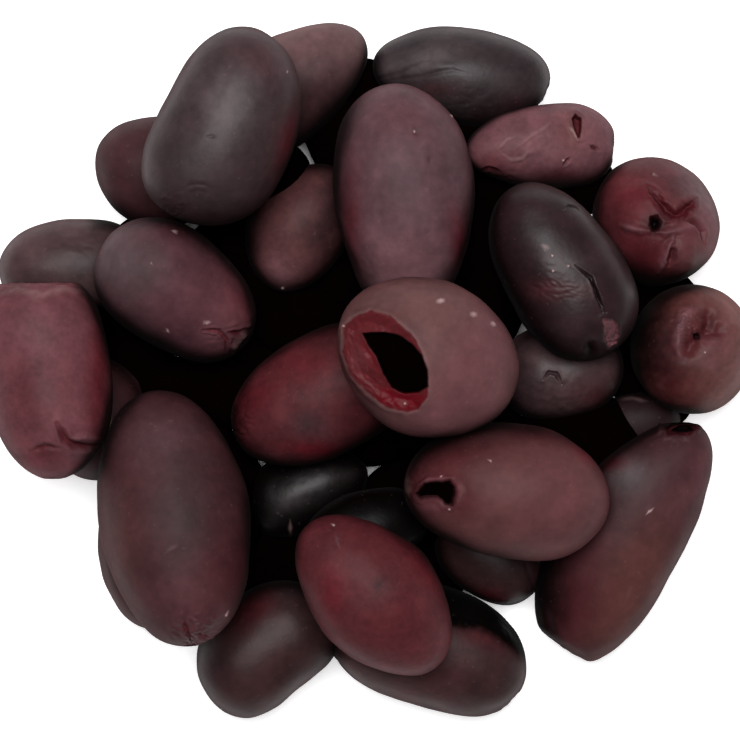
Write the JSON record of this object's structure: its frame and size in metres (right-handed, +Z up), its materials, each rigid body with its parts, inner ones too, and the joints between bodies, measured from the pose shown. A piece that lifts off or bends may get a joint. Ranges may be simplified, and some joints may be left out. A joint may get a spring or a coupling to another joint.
{
  "type": "heap of pitted olives",
  "caption": "Loose heap of dark pitted Kalamata-style olives, some torn or cut open at the stone hole, lying on a flat surface with no dish.",
  "frame": {"origin": "on the surface that the heap lies on, under the middle of its outline", "axes": "+Z up from the surface, +X towards the heap's right side and +Y towards its upper side when it is seen from straight above as in the picture"},
  "size_m": [0.1002, 0.0901, 0.0324],
  "materials": {
    "olive_skin": "satin, dark purple-brown olive skin, moist"
  },
  "bodies": {
    "root": {"olive_heap": "olive_skin"}
  },
  "joints": []
}
